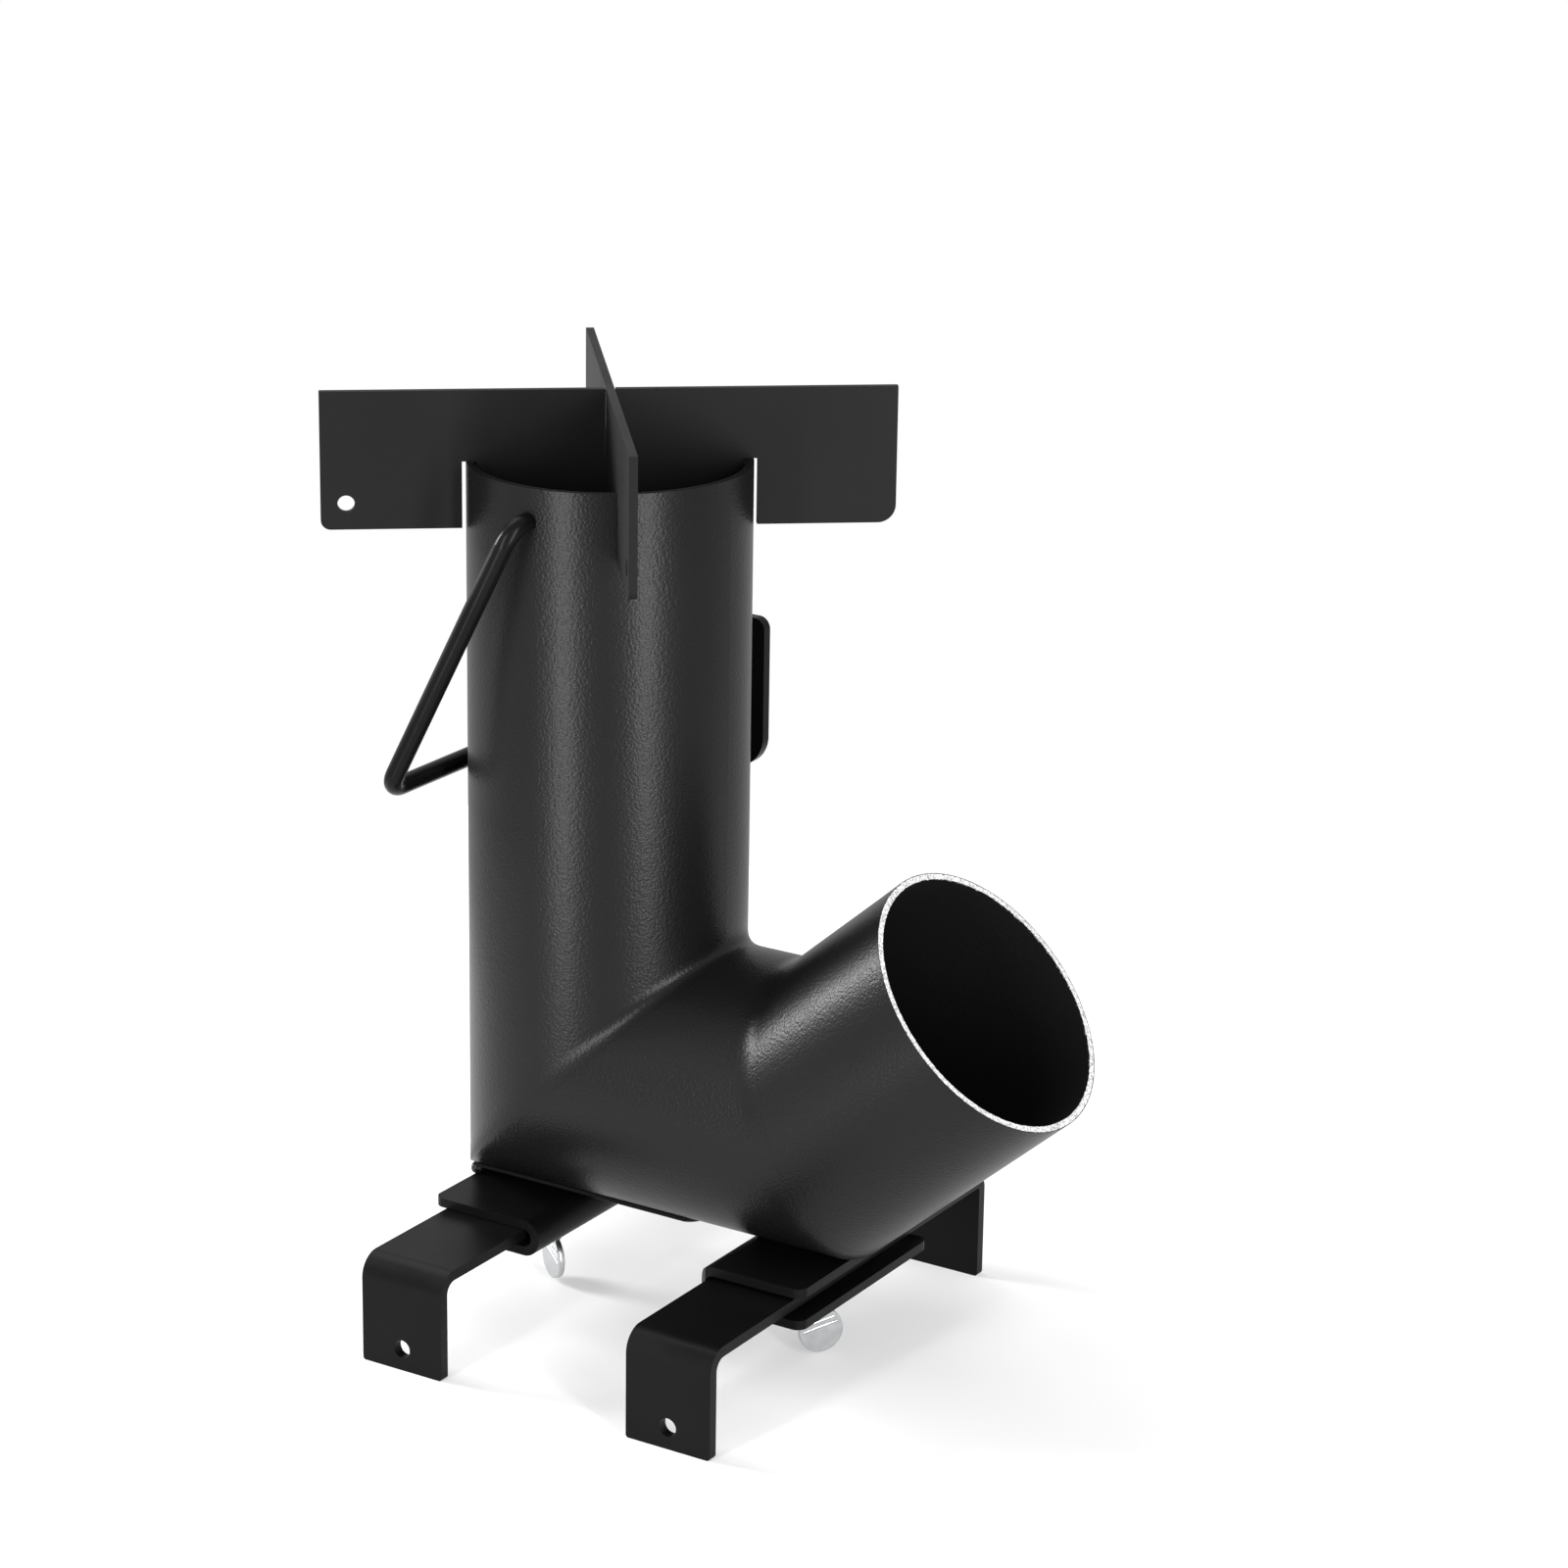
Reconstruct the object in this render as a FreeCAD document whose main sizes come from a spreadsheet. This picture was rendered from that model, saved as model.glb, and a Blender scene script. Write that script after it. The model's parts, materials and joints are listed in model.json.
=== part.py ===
import FreeCAD, Part
import math
import os

import Sketcher

# A wood-burning rocket stove: three welded tubes (riser, burn tube, feed tube) on two folded
# brackets, each holding a removable leg bar with a thumb screw, with a swinging carrying bail
# and a two-piece cross that holds the pot above the riser.
# +Z is up and the feed tube points along +X. The driving sizes are measured from the riser's
# axis, and every sub-part is then shifted so that the origin is the centre of the footprint.

SIZES = {
    "tube_radius": (51.0, "outer radius of all three tubes, 102 mm pipe"),
    "tube_wall": (2.5, "wall of all three tubes"),
    "burn_axis_height": (97.3, "height of the burn tube's axis above the floor"),
    "riser_top": (322.3, "height of the riser's rim"),
    "feed_joint": (97.3, "distance from the riser's axis to the bend of the feed tube"),
    "feed_angle": (41.2, "degrees that the feed tube rises"),
    "feed_length": (81.9, "from the bend to the mouth, along the axis"),
    "saddle_sheet": (1.8, "rolled sheet under the burn tube"),
    "saddle_half_angle": (25.0, "degrees that the saddle wraps up each side"),
    "saddle_rear": (-46.0, "rear end of the saddle"),
    "saddle_front": (48.5, "front end of the saddle"),
    "bracket_sheet": (3.5, "sheet of the folded brackets"),
    "bracket_base": (30.7, "underside of both brackets"),
    "bracket_half_length": (44.6, "half of a bracket's length across the stove"),
    "bracket_corner": (4.0, "corner radius of the brackets' plates"),
    "fold_clip": (4.0, "corners cut off the ends of the front bracket's fold"),
    "rear_open_edge": (-47.6, "open edge of the rear bracket"),
    "rear_fold": (-0.4, "outside of the rear bracket's fold"),
    "front_open_edge": (112.5, "open edge of the front bracket"),
    "front_fold": (68.0, "outside of the front bracket's fold"),
    "leg_sheet": (4.0, "flat bar of the legs"),
    "leg_width": (35.0, "width of the leg bars"),
    "leg_height": (40.7, "top of the leg bars above the floor"),
    "leg_half_span": (95.8, "half of a leg bar's length across the stove"),
    "leg_bend": (8.5, "outer radius of the bend at the end with the peg hole"),
    "leg_tight_bend": (5.0, "outer radius of the bend at the other end"),
    "leg_corner": (1.2, "corner radius at the bottom of each leg"),
    "leg_hole_radius": (3.5, "peg hole in one leg of each bar"),
    "leg_hole_height": (8.3, "height of the peg holes"),
    "rear_leg_place": (-24.7, "middle of the rear leg bar"),
    "front_leg_place": (89.9, "middle of the front leg bar"),
    "screw_radius": (3.0, "M6 shank of the thumb screws"),
    "screw_tip": (36.4, "height of the screws' tips"),
    "thumb_radius": (8.5, "radius of the flat thumb heads"),
    "thumb_thickness": (3.0, "thickness of the flat thumb heads"),
    "thumb_height": (9.8, "height of the centre of the thumb heads"),
    "rear_screw_place": (-24.7, "axis of the rear thumb screw"),
    "front_screw_place": (93.6, "axis of the front thumb screw"),
    "screw_play": (0.05, "radial clearance of a screw in its tapped hole"),
    "bail_radius": (3.5, "radius of the bail's round rod"),
    "bail_pivot_height": (310.0, "height of the bail's pivot holes"),
    "bail_reach": (118.4, "from the pivot to the grip, centre to centre"),
    "bail_arm_place": (60.0, "distance of each arm from the middle"),
    "bail_end_place": (45.0, "distance of each rod end from the middle, inside the riser"),
    "bail_bend": (8.0, "centre-line radius of the bail's bends"),
    "bail_play": (0.05, "radial clearance of the rod in its pivot holes"),
    "bail_gap": (0.3, "from the grip to the riser when the bail hangs"),
    "support_sheet": (3.0, "plate of the pot supports"),
    "support_reach": (102.2, "from the riser's axis to the end of each ear"),
    "support_base": (298.3, "underside of the ears"),
    "support_top": (348.0, "top edges that carry the pot"),
    "support_angle": (38.35, "degrees from +X to the lower plate"),
    "slot_outside": (52.4, "outer side of the slots that straddle the riser's wall"),
    "slot_inside": (47.2, "inner side of those slots"),
    "rest_play": (0.1, "from the riser's rim to the top of the slots"),
    "lap_play": (0.3, "clearance on each side in the half-lap joint"),
    "ear_corner": (3.5, "corner radius of the ears with a hole"),
    "plain_ear_corner": (6.5, "corner radius of the ears with no hole"),
    "ear_hole_radius": (3.05, "hanging hole at one end of each plate"),
    "ear_hole_reach": (93.2, "from the riser's axis to that hole"),
    "ear_hole_height": (307.6, "height of that hole"),
    "rear_thumb_turn": (148.0, "degrees that the rear thumb head stands turned"),
    "front_thumb_turn": (53.0, "degrees that the front thumb head stands turned"),
    "tab_sheet": (4.0, "flat tab on the riser's far side"),
    "tab_rear": (-6.0, "rear edge of the tab"),
    "tab_front": (33.5, "front edge of the tab"),
    "tab_base": (199.5, "bottom of the tab"),
    "tab_top": (257.0, "top of the tab"),
    "tab_top_corner": (4.5, "radius of the tab's upper free corner"),
    "tab_base_corner": (12.0, "radius of the tab's lower free corner"),
}

doc = FreeCAD.newDocument("rocket_stove")
sheet = doc.addObject("Spreadsheet::Sheet", "sizes")
for row, (alias, (number, meaning)) in enumerate(SIZES.items(), start=1):
    sheet.set(f"A{row}", meaning)
    sheet.set(f"B{row}", str(number))
    sheet.setAlias(f"B{row}", alias)
doc.recompute()


class Size:
    """A size worked out from the sheet: its number now, and the expression that gives it."""

    def __init__(self, number, text):
        self.number = number
        self.text = text

    def __add__(self, other):
        other = as_size(other)
        return Size(self.number + other.number, f"({self.text} + {other.text})")

    def __sub__(self, other):
        other = as_size(other)
        return Size(self.number - other.number, f"({self.text} - {other.text})")

    def __mul__(self, other):
        other = as_size(other)
        return Size(self.number * other.number, f"({self.text} * {other.text})")

    def __truediv__(self, other):
        other = as_size(other)
        return Size(self.number / other.number, f"({self.text} / {other.text})")

    def __neg__(self):
        return Size(-self.number, f"(0 - {self.text})")


def as_size(value):
    return value if isinstance(value, Size) else Size(float(value), f"{float(value):.6f}")


def size(alias):
    return Size(float(sheet.get(alias)), f"<<sizes>>.{alias}")


def sine(angle):
    return Size(math.sin(math.radians(angle.number)), f"sin({angle.text})")


def cosine(angle):
    return Size(math.cos(math.radians(angle.number)), f"cos({angle.text})")


def tangent(angle):
    return Size(math.tan(math.radians(angle.number)), f"tan({angle.text})")


def arcsine(value):
    return Size(math.degrees(math.asin(value.number)), f"(asin({value.text}) / 1 deg)")


def bind(obj, place, value):
    obj.setExpression(place, as_size(value).text)


# Bodies, sketches and features


def new_body(name):
    body = doc.addObject("PartDesign::Body", name)
    body.Label = name
    return body


def sketch_on(body, plane, name, offset=None):
    sketch = body.newObject("Sketcher::SketchObject", name)
    for feature in body.Origin.OriginFeatures:
        if feature.Role == plane:
            sketch.AttachmentSupport = [(feature, "")]
    sketch.MapMode = "FlatFace"
    if offset is not None:
        bind(sketch, "AttachmentOffset.Base.z", offset)
    return sketch


def fix(sketch, kind, geometry, point, value):
    """Hold a point's DistanceX or DistanceY from the sketch's origin."""
    value = as_size(value)
    if abs(value.number) < 1e-9:
        axis = -2 if kind == "DistanceX" else -1
        sketch.addConstraint(Sketcher.Constraint("PointOnObject", geometry, point, axis))
        return
    index = sketch.addConstraint(Sketcher.Constraint(kind, -1, 1, geometry, point, value.number))
    bind(sketch, f"Constraints[{index}]", value)


def add_circle(sketch, across, up, radius):
    across, up, radius = as_size(across), as_size(up), as_size(radius)
    centre = FreeCAD.Vector(across.number, up.number, 0)
    circle = sketch.addGeometry(Part.Circle(centre, FreeCAD.Vector(0, 0, 1), radius.number))
    index = sketch.addConstraint(Sketcher.Constraint("Radius", circle, radius.number))
    bind(sketch, f"Constraints[{index}]", radius)
    fix(sketch, "DistanceX", circle, 3, across)
    fix(sketch, "DistanceY", circle, 3, up)


def add_outline(sketch, points):
    """A closed outline of straight edges through the points."""
    points = [(as_size(across), as_size(up)) for across, up in points]
    corners = [FreeCAD.Vector(across.number, up.number, 0) for across, up in points]
    lines = []
    for start, end in zip(corners, corners[1:] + corners[:1]):
        lines.append(sketch.addGeometry(Part.LineSegment(start, end)))
    for before, after in zip(lines, lines[1:] + lines[:1]):
        sketch.addConstraint(Sketcher.Constraint("Coincident", before, 2, after, 1))
    for line, (across, up) in zip(lines, points):
        fix(sketch, "DistanceX", line, 1, across)
        fix(sketch, "DistanceY", line, 1, up)


def pad(body, sketch, length, symmetric=False):
    feature = body.newObject("PartDesign::Pad", f"{sketch.Name}_pad")
    feature.Profile = sketch
    feature.SideType = "Symmetric" if symmetric else "One side"
    bind(feature, "Length", length)
    sketch.Visibility = False
    doc.recompute()
    return feature


def cut_through(body, sketch, reach):
    """Cut the sketch's profile away on both sides of its plane."""
    volume = body.Shape.Volume
    feature = body.newObject("PartDesign::Pocket", f"{sketch.Name}_cut")
    feature.Profile = sketch
    feature.SideType = "Symmetric"
    bind(feature, "Length", reach)
    sketch.Visibility = False
    doc.recompute()
    if body.Shape.Volume > volume - 1.0:
        raise RuntimeError(f"{feature.Name} cuts nothing")
    return feature


def round_edges(body, base, radius, along, **at):
    """Fillet the base feature's straight edges along one axis whose middle is at x=, y= or z=."""
    names = []
    for number, edge in enumerate(base.Shape.Edges, start=1):
        if edge.Curve.TypeId != "Part::GeomLine" or not near(abs(getattr(edge.Curve.Direction, along)), 1):
            continue
        if all(near(getattr(edge.CenterOfMass, axis), value.number) for axis, value in at.items()):
            names.append(f"Edge{number}")
    feature = body.newObject("PartDesign::Fillet", f"{base.Name}_round")
    feature.Base = (base, names)
    bind(feature, "Radius", radius)
    doc.recompute()
    return feature


def near(first, second):
    return abs(first - second) < 1e-3


# Tubes, meeting face to face at their mitres


TUBE = size("tube_radius")
BORE = TUBE - size("tube_wall")
BURN_AXIS = size("burn_axis_height")
TUBE_BASE = BURN_AXIS - TUBE
BEYOND = TUBE * 3


def add_ring(sketch, across, up, outer=TUBE, inner=BORE):
    add_circle(sketch, across, up, outer)
    add_circle(sketch, across, up, inner)


def make_riser():
    body = new_body("riser_tube")
    ring = sketch_on(body, "XY_Plane", "riser_ring", TUBE_BASE)
    add_ring(ring, 0, 0)
    pad(body, ring, size("riser_top") - TUBE_BASE)
    mitre = sketch_on(body, "XZ_Plane", "riser_mitre")
    corners = [(-BEYOND, BURN_AXIS - BEYOND), (BEYOND, BURN_AXIS + BEYOND)]
    add_outline(mitre, corners + [(BEYOND, BURN_AXIS - BEYOND)])
    cut_through(body, mitre, BEYOND * 2)
    pivot = sketch_on(body, "XZ_Plane", "riser_pivot_hole")
    pivot_radius = size("bail_radius") + size("bail_play")
    add_circle(pivot, 0, size("bail_pivot_height"), pivot_radius)
    cut_through(body, pivot, BEYOND * 2)
    return body


def make_burn_tube():
    body = new_body("burn_tube")
    ring = sketch_on(body, "YZ_Plane", "burn_ring", -TUBE)
    add_ring(ring, 0, BURN_AXIS)
    lean = tangent(size("feed_angle") / 2)
    pad(body, ring, TUBE + size("feed_joint") + TUBE * lean)
    rear = sketch_on(body, "XZ_Plane", "burn_rear_mitre")
    corners = [(-BEYOND, BURN_AXIS - BEYOND), (BEYOND, BURN_AXIS + BEYOND)]
    add_outline(rear, corners + [(-BEYOND, BURN_AXIS + BEYOND)])
    cut_through(body, rear, BEYOND * 2)
    front = sketch_on(body, "XZ_Plane", "burn_front_mitre")
    joint = size("feed_joint")
    above = (joint - BEYOND * lean, BURN_AXIS + BEYOND)
    below = (joint + BEYOND * lean, BURN_AXIS - BEYOND)
    far = joint + BEYOND * 2
    add_outline(front, [below, above, (far, BURN_AXIS + BEYOND), (far, BURN_AXIS - BEYOND)])
    cut_through(body, front, BEYOND * 2)
    return body


def make_feed_tube():
    """Built upright from the bend, then laid over to the feed angle."""
    body = new_body("feed_tube")
    lean = tangent(size("feed_angle") / 2)
    ring = sketch_on(body, "XY_Plane", "feed_ring", -(TUBE * lean))
    add_ring(ring, 0, 0)
    pad(body, ring, size("feed_length") + TUBE * lean)
    mitre = sketch_on(body, "XZ_Plane", "feed_mitre")
    left = (-BEYOND, BEYOND * lean)
    right = (BEYOND, -(BEYOND * lean))
    add_outline(mitre, [left, right, (BEYOND, -BEYOND), (-BEYOND, -BEYOND)])
    cut_through(body, mitre, BEYOND * 2)
    return body


def make_saddle():
    """A strip of rolled sheet that hugs the underside of the burn tube."""
    body = new_body("saddle_plate")
    outer = TUBE + size("saddle_sheet")
    half = size("saddle_half_angle")
    sketch = sketch_on(body, "YZ_Plane", "saddle_profile", size("saddle_rear"))
    add_ring(sketch, 0, BURN_AXIS, outer, TUBE)
    pad(body, sketch, size("saddle_front") - size("saddle_rear"))
    trim = sketch_on(body, "YZ_Plane", "saddle_trim", size("saddle_rear"))
    spread = BEYOND * tangent(half)
    above = BURN_AXIS + BEYOND
    below = BURN_AXIS - BEYOND
    corners = [(-BEYOND, above), (-BEYOND, below), (-spread, below), (0, BURN_AXIS)]
    corners += [(spread, below), (BEYOND, below), (BEYOND, above)]
    add_outline(trim, corners)
    cut_through(body, trim, BEYOND * 4)
    return body


# Brackets, legs and thumb screws


def make_bracket(name, open_edge, fold, top, screw_place):
    """Sheet folded over like a hairpin and open on one side, with a tapped hole in its lower plate."""
    body = new_body(name)
    thickness = size("bracket_sheet")
    base = size("bracket_base")
    inward = 1 if fold.number < open_edge.number else -1
    inside = fold + thickness * inward
    sketch = sketch_on(body, "XZ_Plane", f"{name}_profile")
    corners = [(open_edge, base), (fold, base), (fold, top), (open_edge, top)]
    corners += [(open_edge, top - thickness), (inside, top - thickness)]
    corners += [(inside, base + thickness), (open_edge, base + thickness)]
    add_outline(sketch, corners)
    blank = pad(body, sketch, size("bracket_half_length") * 2, symmetric=True)
    inner_radius = (top - base) / 2 - thickness - 0.2
    inner = round_edges(body, blank, inner_radius, "y", x=inside)
    outer = round_edges(body, inner, inner_radius + thickness, "y", x=fold)
    round_edges(body, outer, size("bracket_corner"), "z", x=open_edge)
    hole = sketch_on(body, "XY_Plane", f"{name}_tapped_hole", base + thickness / 2)
    add_circle(hole, screw_place, 0, size("screw_radius") + size("screw_play"))
    cut_through(body, hole, thickness * 2)
    return body


def clip_fold(body, fold, inward):
    """Cut a small corner off each end of a bracket's fold."""
    clip = size("fold_clip")
    for side in (-1, 1):
        end = size("bracket_half_length") * side
        corners = [(fold - inward, end + side), (fold + (clip + 1) * inward, end + side)]
        corners += [(fold - inward, end - (clip + 1) * side)]
        word = "left" if side > 0 else "right"
        sketch = sketch_on(body, "XY_Plane", f"{body.Name}_clip_{word}")
        add_outline(sketch, corners)
        cut_through(body, sketch, TUBE_BASE * 3)


def make_leg_bar(name):
    """A flat bar bent down at both ends, with a peg hole in one leg, made about its own middle."""
    body = new_body(name)
    thickness = size("leg_sheet")
    top = size("leg_height")
    span = size("leg_half_span")
    inside = span - thickness
    sketch = sketch_on(body, "YZ_Plane", f"{name}_profile")
    corners = [(-span, 0), (-span, top), (span, top), (span, 0)]
    corners += [(inside, 0), (inside, top - thickness), (-inside, top - thickness), (-inside, 0)]
    add_outline(sketch, corners)
    blank = pad(body, sketch, size("leg_width"), symmetric=True)
    bent = blank
    for bend, side in ((size("leg_bend"), -1), (size("leg_tight_bend"), 1)):
        bent = round_edges(body, bent, bend, "x", y=span * side, z=top)
        bent = round_edges(body, bent, bend - thickness, "x", y=inside * side, z=top - thickness)
    round_edges(body, bent, size("leg_corner"), "y", z=as_size(0))
    hole = sketch_on(body, "XZ_Plane", f"{name}_peg_hole", span)
    add_circle(hole, 0, size("leg_hole_height"), size("leg_hole_radius"))
    cut_through(body, hole, thickness * 4)
    return body


def make_thumb_screw(name):
    """An upright shank standing in a flat round head, made about its own axis."""
    body = new_body(name)
    height = size("thumb_height")
    shank = sketch_on(body, "XY_Plane", f"{name}_shank", height)
    add_circle(shank, 0, 0, size("screw_radius"))
    pad(body, shank, size("screw_tip") - height)
    head = sketch_on(body, "XZ_Plane", f"{name}_head")
    add_circle(head, 0, height, size("thumb_radius"))
    blank = pad(body, head, size("thumb_thickness"), symmetric=True)
    rims = []
    for number, edge in enumerate(blank.Shape.Edges, start=1):
        if near(abs(edge.CenterOfMass.y), size("thumb_thickness").number / 2):
            rims.append(f"Edge{number}")
    chamfer = body.newObject("PartDesign::Chamfer", f"{name}_rim")
    chamfer.Base = (blank, rims)
    bind(chamfer, "Size", 0.4)
    doc.recompute()
    return body


# The bail, a rod bent in one plane, made hanging straight down from its pivot


def bend_rod(sketch, points, radius):
    """Straight runs through the points, with a tangent arc at each corner."""
    points = [(as_size(across), as_size(up)) for across, up in points]
    places = [FreeCAD.Vector(across.number, up.number, 0) for across, up in points]
    trims = [0.0] + [radius.number] * (len(points) - 2) + [0.0]
    runs = []
    for index in range(len(points) - 1):
        way = (places[index + 1] - places[index]).normalize()
        start = places[index] + way * trims[index]
        end = places[index + 1] - way * trims[index + 1]
        runs.append((sketch.addGeometry(Part.LineSegment(start, end)), way, start, end))
    for (before, way_in, _, bend_start), (after, way_out, bend_end, _) in zip(runs, runs[1:]):
        centre = bend_start + way_out * radius.number
        middle = centre + (way_in - way_out).normalize() * radius.number
        arc = sketch.addGeometry(Part.Arc(bend_start, middle, bend_end))
        first = 1 if near(sketch.Geometry[arc].StartPoint.distanceToPoint(bend_start), 0) else 2
        sketch.addConstraint(Sketcher.Constraint("Tangent", before, 2, arc, first))
        sketch.addConstraint(Sketcher.Constraint("Tangent", after, 1, arc, 3 - first))
        held = sketch.addConstraint(Sketcher.Constraint("Radius", arc, radius.number))
        bind(sketch, f"Constraints[{held}]", radius)
    for run, (line, way, _, _) in enumerate(runs):
        level = abs(way.x) > 0.5
        sketch.addConstraint(Sketcher.Constraint("Horizontal" if level else "Vertical", line))
        across, up = points[run]
        if level:
            fix(sketch, "DistanceY", line, 1, up)
        else:
            fix(sketch, "DistanceX", line, 1, across)
    fix(sketch, "DistanceX", runs[0][0], 1, points[0][0])
    fix(sketch, "DistanceX", runs[-1][0], 2, points[-1][0])


def make_bail():
    body = new_body("carrying_bail")
    arm = size("bail_arm_place")
    end = size("bail_end_place")
    reach = size("bail_reach")
    line = sketch_on(body, "YZ_Plane", "bail_line")
    corners = [(-end, 0), (-arm, 0), (-arm, -reach), (arm, -reach), (arm, 0), (end, 0)]
    bend_rod(line, corners, size("bail_bend"))
    section = sketch_on(body, "XZ_Plane", "bail_section", end)
    add_circle(section, 0, 0, size("bail_radius"))
    doc.recompute()
    pipe = body.newObject("PartDesign::AdditivePipe", "bail_rod")
    pipe.Profile = section
    pipe.Spine = (line, [f"Edge{number}" for number in range(1, len(line.Shape.Edges) + 1)])
    pipe.Mode = "Frenet"
    doc.recompute()
    return body


# Pot supports, two plates half-lapped into a cross


def make_pot_support(name, lap_low, lap_high):
    """A plate with slots over the riser's wall and a half-lap slot in its middle."""
    body = new_body(name)
    reach = size("support_reach")
    base = size("support_base")
    top = size("support_top")
    rest = size("riser_top") + size("rest_play")
    sketch = sketch_on(body, "XZ_Plane", f"{name}_outline")
    corners = [(-reach, base), (-reach, top), (reach, top), (reach, base)]
    outer = size("slot_outside")
    inner = size("slot_inside")
    corners += [(outer, base), (outer, rest), (inner, rest), (inner, base)]
    corners += [(-inner, base), (-inner, rest), (-outer, rest), (-outer, base)]
    add_outline(sketch, corners)
    blank = pad(body, sketch, size("support_sheet"), symmetric=True)
    holed = round_edges(body, blank, size("ear_corner"), "y", x=-reach, z=base)
    round_edges(body, holed, size("plain_ear_corner"), "y", x=reach, z=base)
    half_slot = size("support_sheet") / 2 + size("lap_play")
    lap = sketch_on(body, "XZ_Plane", f"{name}_lap")
    corners = [(-half_slot, lap_low), (-half_slot, lap_high), (half_slot, lap_high), (half_slot, lap_low)]
    add_outline(lap, corners)
    cut_through(body, lap, size("support_sheet") * 2)
    hole = sketch_on(body, "XZ_Plane", f"{name}_hanging_hole")
    add_circle(hole, -size("ear_hole_reach"), size("ear_hole_height"), size("ear_hole_radius"))
    cut_through(body, hole, size("support_sheet") * 2)
    return body


def make_side_tab():
    """A flat tab welded along the riser's far side, its front end standing clear of the tube."""
    body = new_body("side_tab")
    rear, front = size("tab_rear"), size("tab_front")
    base, top = size("tab_base"), size("tab_top")
    sketch = sketch_on(body, "XZ_Plane", "tab_outline", -(TUBE + size("tab_sheet")))
    add_outline(sketch, [(rear, base), (rear, top), (front, top), (front, base)])
    blank = pad(body, sketch, size("tab_sheet"))
    upper = round_edges(body, blank, size("tab_top_corner"), "y", x=front, z=top)
    round_edges(body, upper, size("tab_base_corner"), "y", x=front, z=base)
    return body


# Assembly: each sub-part's place, with the origin moved to the middle of the footprint


MOUTH_ACROSS = size("feed_joint") + size("feed_length") * cosine(size("feed_angle"))
FRONT_EXTREME = MOUTH_ACROSS + TUBE * sine(size("feed_angle"))
EAR_CORNER = size("support_sheet") / 2 * sine(size("support_angle"))
REAR_EXTREME = -(size("support_reach") * cosine(size("support_angle"))) - EAR_CORNER
ORIGIN_SHIFT = -((FRONT_EXTREME + REAR_EXTREME) / 2)
BAIL_LEAN = arcsine((TUBE + size("bail_radius") + size("bail_gap")) / size("bail_reach"))
LAP_MIDDLE = (size("support_base") + size("support_top")) / 2
BELOW = size("support_base") - 1
ABOVE = size("support_top") + 1


def place(body, across=0, up=0, axis=None, angle=None):
    bind(body, "Placement.Base.x", as_size(across) + ORIGIN_SHIFT)
    bind(body, "Placement.Base.z", up)
    if axis is not None:
        body.Placement.Rotation = FreeCAD.Rotation(axis, as_size(angle).number)
        bind(body, "Placement.Rotation.Angle", angle)


ACROSS_AXIS = FreeCAD.Vector(0, 1, 0)
UPRIGHT_AXIS = FreeCAD.Vector(0, 0, 1)

place(make_riser())
place(make_burn_tube())
place(make_feed_tube(), size("feed_joint"), BURN_AXIS, ACROSS_AXIS, as_size(90) - size("feed_angle"))
place(make_saddle())
rear_top = TUBE_BASE - size("saddle_sheet")
rear_edges = size("rear_open_edge"), size("rear_fold")
place(make_bracket("rear_bracket", *rear_edges, rear_top, size("rear_screw_place")))
front_edges = size("front_open_edge"), size("front_fold")
front_bracket = make_bracket("front_bracket", *front_edges, TUBE_BASE, size("front_screw_place"))
clip_fold(front_bracket, size("front_fold"), 1)
place(front_bracket)
for end in ("rear", "front"):
    place(make_leg_bar(f"{end}_leg_bar"), size(f"{end}_leg_place"))
    screw = make_thumb_screw(f"{end}_thumb_screw")
    place(screw, size(f"{end}_screw_place"), 0, UPRIGHT_AXIS, size(f"{end}_thumb_turn"))
place(make_bail(), 0, size("bail_pivot_height"), ACROSS_AXIS, BAIL_LEAN)
lower = make_pot_support("lower_pot_support", LAP_MIDDLE - size("lap_play"), ABOVE)
place(lower, 0, 0, UPRIGHT_AXIS, size("support_angle"))
upper = make_pot_support("upper_pot_support", BELOW, LAP_MIDDLE + size("lap_play"))
place(upper, 0, 0, UPRIGHT_AXIS, size("support_angle") + 90)
place(make_side_tab())

doc.recompute()

os.makedirs("parts", exist_ok=True)
bodies = [item for item in doc.Objects if item.TypeId == "PartDesign::Body"]
for item in doc.Objects:
    if "Invalid" in item.State or "Error" in item.State:
        raise RuntimeError(f"{item.Name} failed: {item.State}")
for body in bodies:
    shape = body.Shape
    if shape.isNull() or not shape.isValid() or len(shape.Solids) != 1:
        raise RuntimeError(f"{body.Label} is not one valid solid")
for body in bodies:
    body.Shape.exportStep(f"parts/{body.Label}.step")
    box = body.Shape.BoundBox
    print(f"{body.Label:20s} {body.Shape.Volume / 1000:8.2f} cm3  x {box.XMin:.2f} {box.XMax:.2f}", end="  ")
    print(f"y {box.YMin:.2f} {box.YMax:.2f}  z {box.ZMin:.2f} {box.ZMax:.2f}")
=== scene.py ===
"""A wood-burning rocket stove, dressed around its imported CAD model: powder-coated tubes with filleted
weld seams, satin folded brackets and leg bars, a painted bail, a two-plate cross and zinc thumb screws."""
import json
import math

import bmesh
import bpy
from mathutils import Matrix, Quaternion, Vector


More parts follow.
